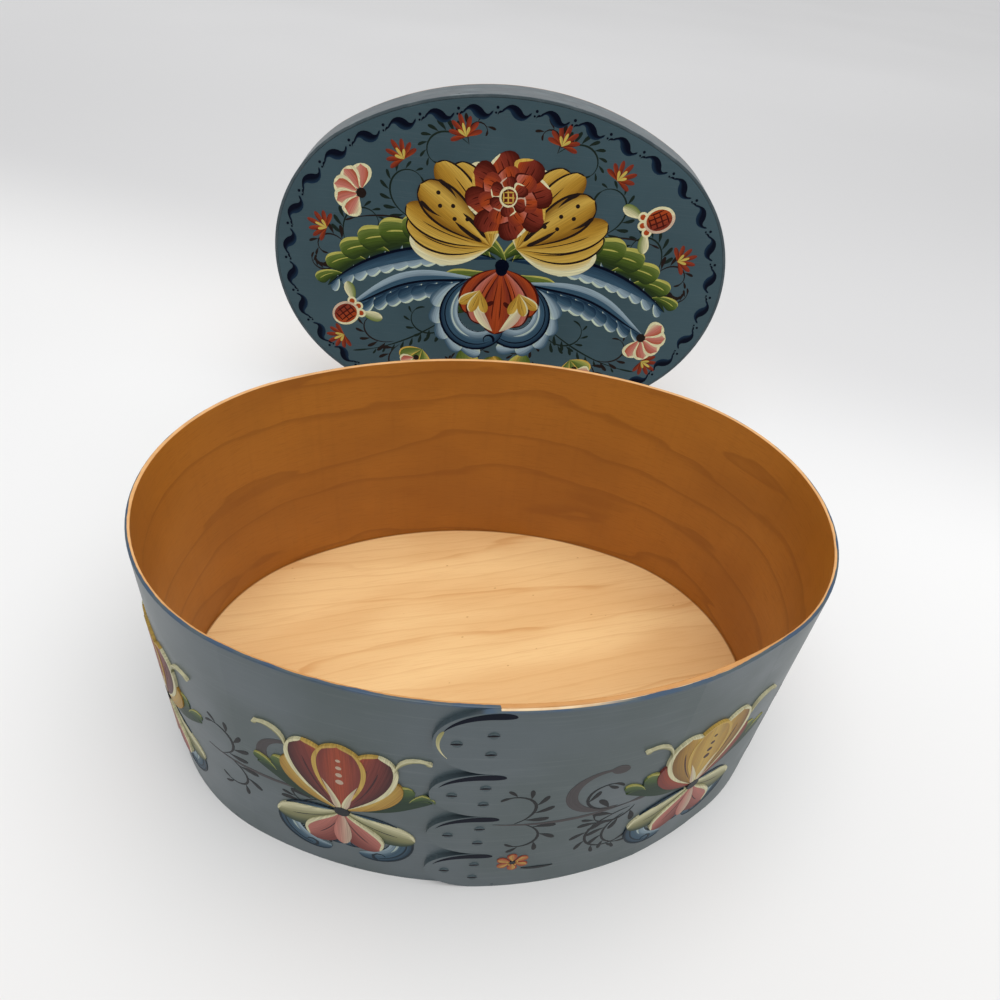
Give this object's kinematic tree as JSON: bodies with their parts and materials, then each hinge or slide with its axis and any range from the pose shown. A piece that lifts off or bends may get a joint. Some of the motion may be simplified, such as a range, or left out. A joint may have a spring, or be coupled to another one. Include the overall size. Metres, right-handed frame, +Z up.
{
  "type": "oval bentwood box with lid",
  "caption": "Oval steam-bent wooden box with a swallowtail lap, a flat bottom board and a separate lift-off lid, painted outside.",
  "frame": {"origin": "middle of the box's underside, without the lid", "axes": "+X along the box's length, -Y towards the lap at its front, +Z up; the lid stands behind at +Y"},
  "size_m": [0.3145, 0.3786, 0.2194],
  "materials": {
    "painted_band": "steam-bent strip, satin oil paint outside, orange-brown stain inside, bare rim",
    "painted_lid_band": "steam-bent strip, satin oil paint outside, orange-brown stain inside",
    "painted_lid_board": "flat board, satin oil paint on top, bare wood inside",
    "bottom_wood": "bare pale softwood, lightly sanded",
    "pin_wood": "split wooden pins, cut flush",
    "painted_tacks": "small flat tacks under the paint of the band"
  },
  "bodies": {
    "box": {"box_band": "painted_band", "box_bottom_board": "bottom_wood", "box_lap_tacks": "painted_tacks", "box_bottom_pins": "pin_wood"},
    "lid": {"lid_band": "painted_lid_band", "lid_board": "painted_lid_board", "lid_lap_tacks": "painted_tacks", "lid_pins": "pin_wood"}
  },
  "joints": [
    {"name": "lid_lift", "type": "slide", "parent": "box", "child": "lid", "axis": [0, 0, 1], "range_m": [0, 0.25]}
  ]
}
